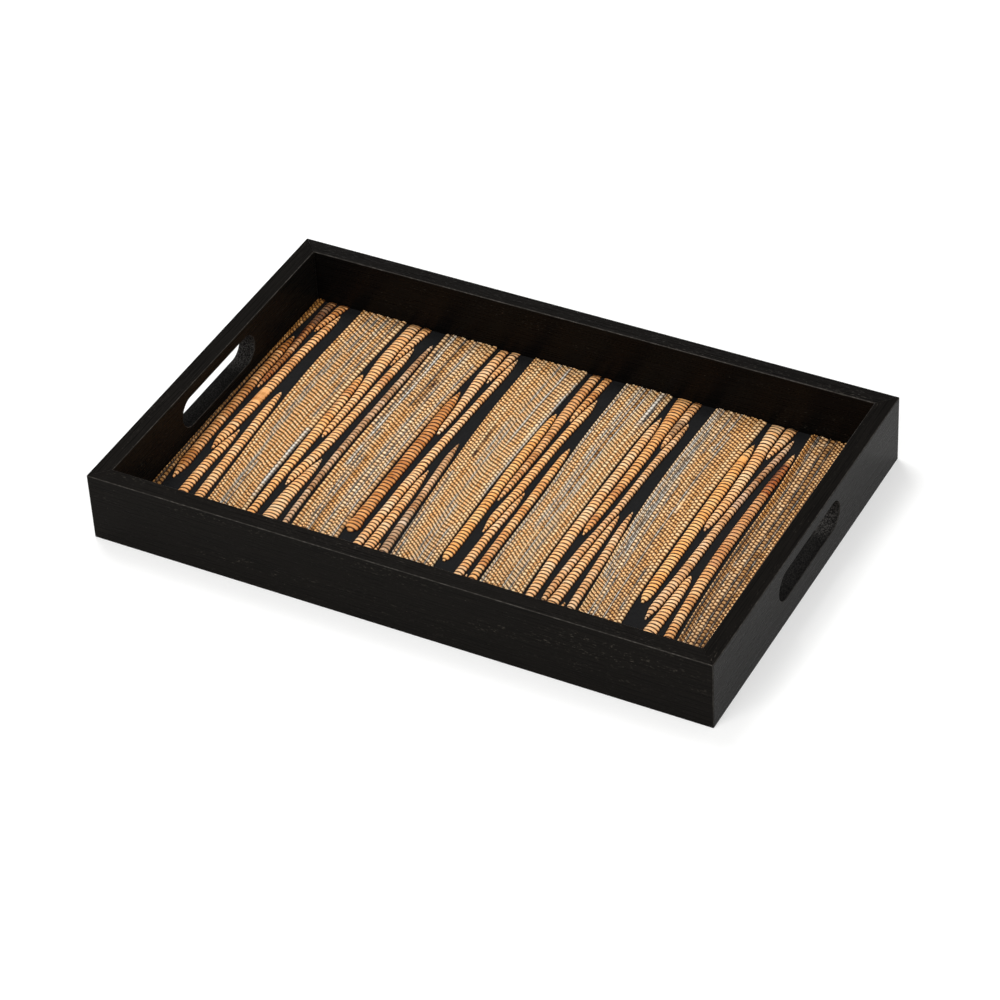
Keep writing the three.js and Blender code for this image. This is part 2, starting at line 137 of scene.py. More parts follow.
BITE_RIPPLE = 0.12  # share of its bite that a thread loses in places across the stalk
RIPPLE_TURN = 2.2  # how fast those places follow each other, in radians from the middle to an edge

# Colour of a stalk, in steps of tone
TIP_PALE = 6 * MM  # length of paler skin at a stalk's free tip
TIP_TONE = 0.1  # how much paler it is
TIP_SLACK = 0.2  # and how much less the threads bite there
FOOT_SHADE = 0.6  # painted shade at the foot of a stalk, where it meets the cloth, as a share of a pinch
RIB_TONE = 0.05  # spread from rib to rib
STALK_TONE = 0.07  # slow change along a stalk
STALK_TONE_LENGTH = 40 * MM
BARE_TONE = 0.06  # how much darker a bare knot is
MARK_SOFT = 1.5 * MM  # soft ends of a mark along a stalk
MARK_SIDE = 0.4  # soft edge of a mark that keeps to one side, in half widths

# Shape of a band
STRAW_CORD = 2.3 * MM
GREY_CORD = 1.2 * MM
CORD_UNEVEN = (0.75, 1.25)  # narrowest and widest straw cord, as shares
CORD_STEPS = 5  # points across one cord
CORD_ROUND = 2.2  # powers of the fall from a cord's crown to the valley beside it
CORD_FALL = 0.6
BEAD_CROWN = 0.7
BEAD_PINCH = (0.16, 0.30)
BAND_DIP = 0.55  # depth of the dip between two beads, as a share of the height there
BAND_VALLEY = 0.5  # depth of the valley between two cords, as a share of the height there
CORD_LEAN = 0.42  # ribs by which the beads of a straw cord lag behind the cord on its left
LEAN_SPREAD = 0.1  # spread of that lag, in ribs
BEAD_SLANT = 0.16  # how far a single bead slants, as a share of the lag
BEAD_DRIFT = 0.06  # slow shift of the beads along a cord, in ribs
BEAD_LENGTH = 40 * MM
LINE_WANDER = 0.06  # slow bend of the line between two cords, as a share of the narrower one
LINE_LENGTH = 45 * MM
LINE_BEND = 0.08  # its bend at every bead

# Colour of a band, in steps of tone or as shares
STRAW_GOLD = 0.25
CORD_TONE = 0.12  # spread from cord to cord
BEAD_TONE = 0.09  # spread from bead to bead
CREST_HIGHLIGHT = 0.1  # how much paler a bead is painted at its crest than in its dips: painted highlight and painted shade
CREST_LEVEL = 0.6  # height at which that adds nothing
PALE_TONE = 0.35  # how much paler a pale stretch is
GREY_WASH = 0.25  # share of its grey that a cord passes on to its neighbours
MARK_FADE = (0.85, 0.25)  # mean strength of a mark on a cord, and its slow change
FADE_LENGTH = 25 * MM
CORD_MARK_SOFT = 4 * MM  # soft ends of a mark along a cord
GREY_SMOOTH = 0.8  # how smooth a grey cord is against a pale stretch
SMOOTH_PINCH = 0.65  # share of the pinches that a smooth stretch loses
VALLEY_SHADE = 0.6  # painted shade in the valley between two cords, as a share of a pinch
GREY_SHADE = 0.3  # further painted shade on the right flank of a grey cord
GREY_FLANK = (-0.2, 0.8)  # where that shade begins and where it is full, from -1 to 1 across the cord

# How each stalk looks: tone from 0 dark brown to 1 pale straw, gold towards orange, grey towards ash
STALK_LOOKS = {
    "1a": (0.44, 0.25, 0.0), "1b": (0.38, 0.15, 0.15), "1c": (0.46, 0.30, 0.0),
    "1d": (0.56, 0.25, 0.0), "1e": (0.60, 0.25, 0.0), "1f": (0.64, 0.25, 0.0),
    "2a": (0.68, 0.75, 0.0), "2b": (0.66, 0.30, 0.0), "2c": (0.62, 0.25, 0.0),
    "2d": (0.68, 0.35, 0.0), "2e": (0.68, 0.20, 0.0), "2f": (0.56, 0.00, 0.40),
    "3a": (0.42, 0.55, 0.0), "3b": (0.70, 0.10, 0.0), "3c": (0.66, 0.20, 0.0),
    "3d": (0.70, 0.20, 0.0), "3e": (0.64, 0.25, 0.0), "3f": (0.60, 0.20, 0.0), "3g": (0.54, 0.05, 0.30),
    "4a": (0.68, 1.00, 0.0), "4b": (0.54, 0.40, 0.10), "4c": (0.56, 0.45, 0.0),
    "4d": (0.68, 0.60, 0.0), "4e": (0.66, 0.20, 0.0), "4f": (0.62, 0.20, 0.0), "4g": (0.62, 0.60, 0.0),
    "5a": (0.72, 0.25, 0.0), "5b": (0.56, 0.60, 0.0), "5c": (0.60, 0.25, 0.1),
    "5d": (0.61, 0.10, 0.12), "5e": (0.66, 0.25, 0.0), "5f": (0.62, 0.20, 0.0), "5g": (0.64, 0.15, 0.12),
    "6a": (0.68, 1.00, 0.0), "6b": (0.72, 0.35, 0.0), "6c": (0.70, 0.20, 0.0),
    "6d": (0.63, 0.05, 0.15), "6e": (0.68, 0.25, 0.0), "6f": (0.60, 0.45, 0.05),
}

# Natural marks along single stalks: kind, front and back end of the mark in mm from the middle, strength, and
# the side it keeps to: -1 left, 1 right, 0 both
STALK_MARKS = {
    "1b": (("rust", 33, 47, 0.55, 0), ("rust", 76, 104, 0.5, -1), ("stain", 76, 108, 0.8, -1),
           ("grey", 106, 132, 0.4, 0), ("stain", 107, 131, 0.7, 0)),
    "1d": (("bare", 12, 26, 1.0, 0),),
    "2a": (("rust", 16, 58, 0.5, -1), ("rust", 40, 54, 0.35, 0)),
    "2d": (("rust", 62, 76, 0.4, 0),),
    "3a": (("rust", -20, 70, 0.2, 0),),
    "3g": (("grey", -136, -50, 0.5, 0),),
    "4g": (("rust", -82, -54, 0.35, 0),),
    "5b": (("rust", 18, 34, 0.4, 0), ("rust", -14, -2, 0.3, 0)),
    "5c": (("stain", 94, 112, 0.6, 0),),
    "6a": (("bare", 88, 93, 1.0, 0),),
    "6b": (("rust", -2, 20, 0.35, 0),),
    "6d": (("grey", 40, 120, 0.35, 0), ("rust", 40, 105, 0.3, 0)),
    "6f": (("rust", 62, 98, 0.9, 0), ("rust", -20, 62, 0.45, 0), ("stain", 76, 99, 0.75, -1)),
}

# Ash-grey cords of the bands: place across the tray and the stretch that is grey, in mm
GREY_CORDS = {
    1: ((-215.3, -136, 60),),
    2: ((-171.5, -20, 137), (-167, -137, 85), (-165.5, 88, 132), (-162.5, -137, -30), (-158.5, -137, -45),
        (-158.5, 50, 137), (-151, 12, 137), (-148, -80, 0)),
    3: ((-106.5, 20, 137), (-104.5, -25, 137), (-100, -85, 20), (-95, -137, -10), (-96, 50, 137),
        (-88.3, -137, 137), (-83.5, -65, 30), (-78, -137, 110)),
    4: ((-33, -137, -40), (-29.5, -137, 0), (-23.7, 12, 68), (-21, 75, 137), (-19.5, -20, 68),
        (-16.3, -137, -20), (-14.5, 42, 137), (-12.3, -137, -30), (-5.5, -137, -55), (-3, -17, 120)),
    5: ((32.5, 40, 137), (35.5, -137, 40), (42.5, -35, 137), (45.5, -20, 137), (50.3, -137, 137),
        (52.7, -10, 30), (56.8, -137, -15), (58.5, 95, 137), (62, 85, 137)),
    6: ((101, -10, 137), (103, -60, 137), (105, -60, 137), (106.7, -30, 110), (110.7, -137, 85),
        (113.5, 85, 137), (115.7, -137, 50), (119, 90, 137), (122, -137, 110), (131.5, -85, -38)),
    7: ((178.3, -137, 35), (177.5, 108, 137), (181.5, -137, 137), (188, -137, 137), (192.7, -137, 137)),
}

# Tone of each band's straw; the outer two, beside the end rails, are darker: darker straw and painted shade
# from the rails
BAND_TONES = {1: 0.38, 2: 0.66, 3: 0.68, 4: 0.74, 5: 0.72, 6: 0.74, 7: 0.56}

# Other marks on the cords: kind, place across the tray, front and back end, strength
CORD_MARKS = {
    2: (("pale", -150, 4, 17, 0.9),),
    3: (("stain", -92.3, 55, 85, 1.0),),
    4: (("stain", -30.3, 17, 55, 1.0), ("pale", -6.2, 45, 70, 0.7)),
    5: (("pale", 47, -72, -28, 1.0),),
    6: (("pale", 121.7, 22, 46, 1.0),),
}


def linear(hex_colour):
    """Linear red, green, blue and alpha of an sRGB hex colour."""
    shares = [int(hex_colour[start:start + 2], 16) / 255 for start in (1, 3, 5)]
    return tuple(s / 12.92 if s <= 0.04045 else ((s + 0.055) / 1.055) ** 2.4 for s in shares) + (1.0,)


def add_node(tree, kind, settings=None, sockets=None, stops=None):
    """Adds one shader node. Sockets take a plain value, another node, or a node with its output's name."""
    made = tree.nodes.new(kind)
    for name, value in (settings or {}).items():
        setattr(made, name, value)
    for name, value in (sockets or {}).items():
        if isinstance(value, bpy.types.Node):
            tree.links.new(value.outputs[0], made.inputs[name])
        elif isinstance(value, tuple) and isinstance(value[0], bpy.types.Node):
            tree.links.new(value[0].outputs[value[1]], made.inputs[name])
        else:
            made.inputs[name].default_value = value
    if stops:
        while len(made.color_ramp.elements) < len(stops):
            made.color_ramp.elements.new(1.0)
        for element, (place, colour) in zip(made.color_ramp.elements, stops):
            element.position = place
            element.color = colour
    return made


def new_tree(name):
    """An empty node material and its tree."""
    material = bpy.data.materials.new(name)
    material.use_nodes = True
    material.node_tree.nodes.clear()
    return material, material.node_tree


# Sockets of the colour form of the Mix node, which shares its socket names with the other forms
FACTOR = 0
FIRST = 6
SECOND = 7
MIXED = 2


def black_wood(name, turn, stain_stops, oil):
    """Open-pored hardwood, sanded, stained black and wiped with thin satin oil. The stain drowns the
    figure, so the eye gets near-black with a weak warm sheen, pale dusty pores in rows along the grain,
    single specks of dust, a rubbed line with a painted highlight on the eased edges, and rough charcoal
    where the slot was routed through, with painted light at the slot's back end. The turn lays the grain
    along the rail, and the oil is the film's refractive index."""
    material, tree = new_tree(name)
    place = add_node(tree, "ShaderNodeTexCoord")
    grain = add_node(tree, "ShaderNodeMapping", {}, {
        "Vector": (place, "Object"), "Rotation": (0.0, 0.0, turn)})

    def grain_marks(size, detail, low, high):
        """Soft-edged marks in the wood of about this length, width and height in mm: 0 below the low level
        of a random field stretched along the grain, and 1 above the high one."""
        mark_place = add_node(tree, "ShaderNodeMapping", {}, {
            "Vector": grain, "Scale": tuple(1 / (extent * MM) for extent in size)})
        field = add_node(tree, "ShaderNodeTexNoise", {}, {
            "Vector": mark_place, "Scale": 1.0, "Detail": detail, "Roughness": 0.55})
        return add_node(tree, "ShaderNodeMapRange", {"interpolation_type": "SMOOTHSTEP"}, {
            "Value": field, "From Min": low, "From Max": high})

    # Pores are 0.2 by 3 mm on the real wood; they are drawn 0.7 mm wide so that they show
    pores = grain_marks((3.0, 0.7, 0.7), 1.0, 0.62, 0.76)
    # Early wood, where the pores sit, comes in drifting belts about 9 mm wide
    belts = grain_marks((110.0, 9.0, 9.0), 2.0, 0.48, 0.7)
    fibres = grain_marks((40.0, 0.9, 0.9), 3.0, 0.2, 0.8)
    dusty = add_node(tree, "ShaderNodeMath", {"operation": "MULTIPLY"}, {0: pores, 1: belts})
    # Specks of dust 0.7 mm across with a soft rim, one to about every 9 mm
    speck_spacing = 9
    cells = add_node(tree, "ShaderNodeTexVoronoi", {}, {
        "Vector": (place, "Object"), "Scale": 1 / (speck_spacing * MM)})
    specks = add_node(tree, "ShaderNodeMapRange", {}, {
        "Value": (cells, "Distance"), "From Min": 0.35 / speck_spacing, "From Max": 0.2 / speck_spacing})
    marked = add_node(tree, "ShaderNodeMath", {"operation": "MAXIMUM"}, {0: dusty, 1: specks})
    stain = add_node(tree, "ShaderNodeValToRGB", {}, {"Fac": fibres}, stain_stops)
    with_pores = add_node(tree, "ShaderNodeMix", {"data_type": "RGBA"}, {
        FACTOR: marked, FIRST: (stain, "Color"), SECOND: linear("#3c3832")})
    # Apart from the ends of the slot, eased edges are the only faces that look along no axis of the tray.
    # They are painted lighter in spots of 3 mm: wear, and a painted highlight along the edge
    facing = add_node(tree, "ShaderNodeNewGeometry")
    away = add_node(tree, "ShaderNodeVectorMath", {"operation": "ABSOLUTE"}, {0: (facing, "Normal")})
    axes = add_node(tree, "ShaderNodeSeparateXYZ", {}, {"Vector": away})
    wider = add_node(tree, "ShaderNodeMath", {"operation": "MAXIMUM"}, {0: (axes, "X"), 1: (axes, "Y")})
    widest = add_node(tree, "ShaderNodeMath", {"operation": "MAXIMUM"}, {0: wider, 1: (axes, "Z")})
    eased = add_node(tree, "ShaderNodeMapRange", {}, {"Value": widest, "From Min": 0.97, "From Max": 0.80})
    wear = grain_marks((3.0, 3.0, 3.0), 3.0, 0.42, 0.7)
    worn = add_node(tree, "ShaderNodeMath", {"operation": "MULTIPLY_ADD"}, {0: wear, 1: 0.6, 2: 0.4})
    edge_wear_and_highlight = add_node(tree, "ShaderNodeMath", {"operation": "MULTIPLY"}, {0: eased, 1: worn})
    rubbed = add_node(tree, "ShaderNodeMix", {"data_type": "RGBA"}, {
        FACTOR: edge_wear_and_highlight, FIRST: (with_pores, MIXED), SECOND: linear("#4c4945")})
    # The routed slot: inside the box round it, on faces that do not look along the tray
    spot = add_node(tree, "ShaderNodeSeparateXYZ", {}, {"Vector": (place, "Object")})
    routed = add_node(tree, "ShaderNodeMath", {"operation": "LESS_THAN"}, {0: (axes, "X"), 1: 0.5})
    slot_box = (("Z", "GREATER_THAN", SLOT_LOW), ("Z", "LESS_THAN", SLOT_HIGH),
                ("Y", "GREATER_THAN", -SLOT_END), ("Y", "LESS_THAN", SLOT_END))
    for axis, test, limit in slot_box:
        inside = add_node(tree, "ShaderNodeMath", {"operation": test}, {0: (spot, axis), 1: limit})
        routed = add_node(tree, "ShaderNodeMath", {"operation": "MULTIPLY"}, {0: routed, 1: inside})
    # Torn end fibres left by the cutter, about 0.9 mm across; towards the back end of the slot they are
    # made lighter, a painted pool of light
    torn = grain_marks((0.9, 0.9, 0.9), 2.0, 0.35, 0.75)
    painted_light_at_slot_end = add_node(tree, "ShaderNodeMapRange", {"interpolation_type": "SMOOTHSTEP"}, {
        "Value": (spot, "Y"), "From Min": 0.45 * SLOT_END, "From Max": 0.75 * SLOT_END, "To Min": 0.3})
    torn_and_lit = add_node(tree, "ShaderNodeMath", {"operation": "MULTIPLY"}, {0: torn, 1: painted_light_at_slot_end})
    torn_colour = add_node(tree, "ShaderNodeValToRGB", {}, {"Fac": torn_and_lit}, (
        (0.0, linear("#0a0a0a")), (0.9, linear("#454341"))))
    colour = add_node(tree, "ShaderNodeMix", {"data_type": "RGBA"}, {
        FACTOR: routed, FIRST: (rubbed, MIXED), SECOND: (torn_colour, "Color")})
    oiled = add_node(tree, "ShaderNodeMapRange", {}, {"Value": fibres, "To Min": 0.24, "To Max": 0.34})
    dulled = add_node(tree, "ShaderNodeMath", {"operation": "MAXIMUM"}, {0: oiled, 1: routed})
    relief = add_node(tree, "ShaderNodeMath", {"operation": "SUBTRACT"}, {0: fibres, 1: pores})
    bump = add_node(tree, "ShaderNodeBump", {}, {"Height": relief, "Strength": 0.4, "Distance": 0.15 * MM})
    surface = add_node(tree, "ShaderNodeBsdfPrincipled", {}, {
        "Base Color": (colour, MIXED), "Roughness": dulled, "IOR": oil, "Specular Tint": linear("#fff2e6"),
        "Normal": bump})
    add_node(tree, "ShaderNodeOutputMaterial", {}, {"Surface": surface})
    return material


def black_board():
    """Plywood with a rotary-cut face, stained black and left without oil: dull, with wide soft streaks."""
    material, tree = new_tree("black_stained_plywood")
    place = add_node(tree, "ShaderNodeTexCoord")
    # Rotary-cut figure: streaks 60 mm long and 5 mm wide
    streak_place = add_node(tree, "ShaderNodeMapping", {}, {
        "Vector": (place, "Object"), "Scale": (1 / (60 * MM), 1 / (5 * MM), 1 / (5 * MM))})
    streaks = add_node(tree, "ShaderNodeTexNoise", {}, {
        "Vector": streak_place, "Scale": 1.0, "Detail": 4.0, "Roughness": 0.6, "Distortion": 0.4})
    colour = add_node(tree, "ShaderNodeValToRGB", {}, {"Fac": streaks}, (
        (0.3, linear("#141210")), (0.7, linear("#2c2823"))))
    bump = add_node(tree, "ShaderNodeBump", {}, {"Height": streaks, "Strength": 0.3, "Distance": 0.2 * MM})
    surface = add_node(tree, "ShaderNodeBsdfPrincipled", {}, {
        "Base Color": colour, "Roughness": 0.8, "IOR": 1.35, "Normal": bump})
    add_node(tree, "ShaderNodeOutputMaterial", {}, {"Surface": surface})
    return material


def pale_spline_wood():
    """Sawn beech, left bare: pale tan with short darker flecks, dull."""
    material, tree = new_tree("bare_beech")
    place = add_node(tree, "ShaderNodeTexCoord")
    # Flecks 3 mm long and 0.5 mm wide, upright as the splines are cut
    fleck_place = add_node(tree, "ShaderNodeMapping", {}, {
        "Vector": (place, "Object"), "Scale": (1 / (0.5 * MM), 1 / (0.5 * MM), 1 / (3 * MM))})
    flecks = add_node(tree, "ShaderNodeTexNoise", {}, {
        "Vector": fleck_place, "Scale": 1.0, "Detail": 2.0})
    colour = add_node(tree, "ShaderNodeValToRGB", {}, {"Fac": flecks}, (
        (0.35, linear("#a67c50")), (0.6, linear("#cfa878"))))
    surface = add_node(tree, "ShaderNodeBsdfPrincipled", {}, {"Base Color": colour, "Roughness": 0.7})
    add_node(tree, "ShaderNodeOutputMaterial", {}, {"Surface": surface})
    return material


def black_cloth():
    """Black cotton backing cloth, plain woven and glued flat. It gives the eye matte charcoal with a faint
    grid of threads and some lint."""
    material, tree = new_tree("black_cotton_cloth")
    place = add_node(tree, "ShaderNodeTexCoord")
    # Threads are 0.4 mm apart on the real cloth; they are drawn 1.1 mm apart so that they show
    wave_length = 0.314  # of the wave pattern at scale 1
    threads = [
        add_node(tree, "ShaderNodeTexWave", {"bands_direction": direction}, {
            "Vector": (place, "Object"), "Scale": wave_length / (1.1 * MM), "Distortion": 0.6, "Detail": 1.0})
        for direction in ("X", "Y")]
    grid = add_node(tree, "ShaderNodeMath", {"operation": "MULTIPLY"}, {
        0: (threads[0], "Fac"), 1: (threads[1], "Fac")})
    # Lint and rubbed patches, about 2 mm across
    lint = add_node(tree, "ShaderNodeTexNoise", {}, {
        "Vector": (place, "Object"), "Scale": 1 / (2 * MM), "Detail": 4.0, "Roughness": 0.7})
    worn = add_node(tree, "ShaderNodeMath", {"operation": "MULTIPLY_ADD"}, {0: grid, 1: 0.3, 2: lint})
    colour = add_node(tree, "ShaderNodeValToRGB", {}, {"Fac": worn}, (
        (0.3, linear("#0b0b0c")), (0.9, linear("#19191a"))))
    bump = add_node(tree, "ShaderNodeBump", {}, {"Height": worn, "Strength": 0.4, "Distance": 0.2 * MM})
    surface = add_node(tree, "ShaderNodeBsdfPrincipled", {}, {
        "Base Color": colour, "Roughness": 0.92, "IOR": 1.3, "Normal": bump})
    add_node(tree, "ShaderNodeOutputMaterial", {}, {"Surface": surface})
    return material


def dried_skin(name, fibre_width, roughness, skin_stops, shade_stops):
    """Dried water hyacinth: a thin satin skin over pith, pinched by the cross threads. It gives the eye
    warm straw swellings with a soft gleam, dark brown pinches of thread and painted groove shade, fine
    fibres along the stalk, and stains and ash-grey stretches. The pieces carry the pattern as attributes:
    rib is 0 in a pinch and 1 on a crown, and also carries painted shade at the feet of stalks and in the
    valleys between cords, tone runs from dark to pale, with a painted highlight on the crests of beads,
    and gold, grey, rust and stain are shares."""
    material, tree = new_tree(name)
    rib, tone, gold, grey, rust, stain = [
        (add_node(tree, "ShaderNodeAttribute", {"attribute_name": mark}), "Fac")
        for mark in ("rib", "tone", "gold", "grey", "rust", "stain")]
    place = add_node(tree, "ShaderNodeTexCoord")
    # Fibres 9 mm long
    fibre_place = add_node(tree, "ShaderNodeMapping", {}, {
        "Vector": (place, "Object"), "Scale": (1 / fibre_width, 1 / (9 * MM), 1 / fibre_width)})
    fibres = add_node(tree, "ShaderNodeTexNoise", {}, {
        "Vector": fibre_place, "Scale": 1.0, "Detail": 3.0, "Roughness": 0.6})
    # Blotches of the dried skin, about 7 mm across
    blotches = add_node(tree, "ShaderNodeTexNoise", {}, {
        "Vector": (place, "Object"), "Scale": 1 / (7 * MM), "Detail": 3.0, "Roughness": 0.6})
    # Both shift the tone up and down; they hover about a half, so half their sum is taken off again
    fibre_share = 0.36
    blotch_share = 0.24
    streaked = add_node(tree, "ShaderNodeMath", {"operation": "MULTIPLY_ADD"}, {
        0: fibres, 1: fibre_share, 2: tone})
    varied = add_node(tree, "ShaderNodeMath", {"operation": "MULTIPLY_ADD"}, {
        0: blotches, 1: blotch_share, 2: streaked})
    centred = add_node(tree, "ShaderNodeMath", {"operation": "SUBTRACT"}, {
        0: varied, 1: (fibre_share + blotch_share) / 2})
    skin = add_node(tree, "ShaderNodeValToRGB", {}, {"Fac": centred}, skin_stops)
    golden = add_node(tree, "ShaderNodeMix", {"data_type": "RGBA", "blend_type": "MULTIPLY"}, {
        FACTOR: gold, FIRST: (skin, "Color"), SECOND: linear("#fff0cc")})
    ash = add_node(tree, "ShaderNodeValToRGB", {}, {"Fac": centred}, (
        (0.40, linear("#54514d")), (0.62, linear("#a39b91")), (0.82, linear("#e6dfd3"))))
    ashen = add_node(tree, "ShaderNodeMix", {"data_type": "RGBA"}, {
        FACTOR: grey, FIRST: (golden, MIXED), SECOND: (ash, "Color")})
    mottle = add_node(tree, "ShaderNodeMapRange", {}, {
        "Value": blotches, "From Min": 0.3, "From Max": 0.6, "To Min": 0.45, "To Max": 1.0})
    stained = ashen
    for share, colour in ((rust, "#a84e18"), (stain, "#40211a")):
        soaked = add_node(tree, "ShaderNodeMath", {"operation": "MULTIPLY"}, {0: share, 1: mottle})
        stained = add_node(tree, "ShaderNodeMix", {"data_type": "RGBA"}, {
            FACTOR: soaked, FIRST: (stained, MIXED), SECOND: linear(colour)})
    # A pinch darkens the colour: the dark thread, and painted shade in grooves, at feet and in valleys
    pinch = add_node(tree, "ShaderNodeMapRange", {"interpolation_type": "SMOOTHSTEP"}, {
        "Value": rib, "From Min": 0.25, "From Max": 0.85, "To Min": 1.0, "To Max": 0.0})
    warm_shade = add_node(tree, "ShaderNodeValToRGB", {}, {"Fac": pinch}, shade_stops)
    grey_shade = add_node(tree, "ShaderNodeValToRGB", {}, {"Fac": pinch}, (
        (0.0, linear("#ffffff")), (0.5, linear("#b0adaa")), (1.0, linear("#3a3836"))))
    shade = add_node(tree, "ShaderNodeMix", {"data_type": "RGBA"}, {
        FACTOR: grey, FIRST: (warm_shade, "Color"), SECOND: (grey_shade, "Color")})
    pinched = add_node(tree, "ShaderNodeMix", {"data_type": "RGBA", "blend_type": "MULTIPLY"}, {
        FACTOR: 1.0, FIRST: (stained, MIXED), SECOND: (shade, MIXED)})
    # Pits where leaf hairs broke off, about 1 mm across
    pit_noise = add_node(tree, "ShaderNodeTexNoise", {}, {
        "Vector": (place, "Object"), "Scale": 1 / (1.3 * MM), "Detail": 1.0})
    pits = add_node(tree, "ShaderNodeMapRange", {}, {
        "Value": pit_noise, "From Min": 0.7, "From Max": 0.78, "To Max": 0.75})
    colour = add_node(tree, "ShaderNodeMix", {"data_type": "RGBA"}, {
        FACTOR: pits, FIRST: (pinched, MIXED), SECOND: linear("#4a2a14")})
    gleam = add_node(tree, "ShaderNodeMapRange", {}, {
        "Value": fibres, "To Min": roughness - 0.08, "To Max": roughness + 0.12})
    bump = add_node(tree, "ShaderNodeBump", {}, {"Height": fibres, "Strength": 0.3, "Distance": 0.25 * MM})
    surface = add_node(tree, "ShaderNodeBsdfPrincipled", {}, {
        "Base Color": (colour, MIXED), "Roughness": gleam, "IOR": 1.28, "Normal": bump})
    add_node(tree, "ShaderNodeOutputMaterial", {}, {"Surface": surface})
    return material


def studio_paper():
    """White paper, matte. It is lifted towards white where the eye or a reflection sees it; shadows stay."""
    material, tree = new_tree("white_studio_paper")
    rays = add_node(tree, "ShaderNodeLightPath")
    seen = (rays, "Is Camera Ray")
    for kind in ("Is Glossy Ray", "Is Transmission Ray"):
        seen = add_node(tree, "ShaderNodeMath", {"operation": "MAXIMUM"}, {0: seen, 1: (rays, kind)})
    paper = add_node(tree, "ShaderNodeBsdfDiffuse", {}, {"Color": linear("#d2d2d1")})
    lift = add_node(tree, "ShaderNodeMath", {"operation": "MULTIPLY"}, {0: seen, 1: PAPER_LIFT})
    glow = add_node(tree, "ShaderNodeEmission", {}, {"Strength": lift})
    surface = add_node(tree, "ShaderNodeAddShader", {}, {0: paper, 1: glow})
    add_node(tree, "ShaderNodeOutputMaterial", {}, {"Surface": surface})
    return material


def stations(node):
    """Cross-sections of a lofted CAD node, from front to back: depth, left edge, right edge and top of each,
    read as the extremes of the node's own corners at every depth, to 0.01 mm, at which it has corners."""
    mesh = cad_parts[node].data
    corners = np.empty(len(mesh.vertices) * 3)
    mesh.vertices.foreach_get("co", corners)
    corners = corners.reshape(-1, 3)
    depths, station = np.unique(np.round(corners[:, 1], 5), return_inverse=True)
    left = np.full(len(depths), np.inf)
    right = np.full(len(depths), -np.inf)
    top = np.full(len(depths), -np.inf)
    np.minimum.at(left, station, corners[:, 0])
    np.maximum.at(right, station, corners[:, 0])
    np.maximum.at(top, station, corners[:, 2])
    return depths, left, right, top


def smooth_between(knots, values, places):
    """Cubic curve through the values at the knots, with slopes taken from each knot's two neighbours."""
    slopes = np.gradient(values, knots)
    span = np.clip(np.searchsorted(knots, places, side="right") - 1, 0, len(knots) - 2)
    length = knots[span + 1] - knots[span]
    t = np.clip((places - knots[span]) / length, 0.0, 1.0)
    return ((2 * t**3 - 3 * t**2 + 1) * values[span] + (t**3 - 2 * t**2 + t) * length * slopes[span]
            + (3 * t**2 - 2 * t**3) * values[span + 1] + (t**3 - t**2) * length * slopes[span + 1])


def ease(low, high, values):
    """Smooth step from 0 at low to 1 at high."""
    t = np.clip((values - low) / (high - low), 0.0, 1.0)
    return t * t * (3 - 2 * t)


def window(values, low, high, soft):
    """1 between low and high and 0 outside, with soft ends."""
    return ease(low - soft, low + soft, values) * (1 - ease(high - soft, high + soft, values))


def drift(random, places, length):
    """Slow random curve of about unit height: a sum of sines with random lengths near the given one."""
    total = np.zeros_like(places)
    for _ in range(DRIFT_SINES):
        total += np.sin(2 * np.pi * (places / (length * random.uniform(*DRIFT_LENGTHS)) + random.uniform()))
    return total / math.sqrt(DRIFT_SINES)


def thread_rows(random, front, back):
    """Depths of the rows of a woven piece, front to back, with each row's place inside its rib, from 0 at one
    thread to 1 at the next, and the rib's number. Ribs have a random length near the weave's pitch."""
    count = int((back - front) / RIB_PITCH) + SPARE_RIBS
    pitches = RIB_PITCH * np.clip(1 + PITCH_SPREAD * random.standard_normal(count), *PITCH_LIMITS)
    first_thread = front - RIB_PITCH * random.uniform(*FIRST_THREAD)
    threads = first_thread + np.concatenate([[0.0], np.cumsum(pitches)[:-1]])
    shares = np.arange(ROWS_PER_RIB) / ROWS_PER_RIB
    depths = (threads[:, None] + pitches[:, None] * shares).ravel()
    places = np.tile(shares, count)
    ribs = np.repeat(np.arange(count), ROWS_PER_RIB)
    inside = (depths > front + END_ROOM) & (depths < back - END_ROOM)
    first, last = np.flatnonzero(inside)[[0, -1]]
    # One row more at either end is drawn to the end itself
    picked = np.arange(first - 1, last + 2)
    return np.clip(depths[picked], front, back), places[picked], ribs[picked]


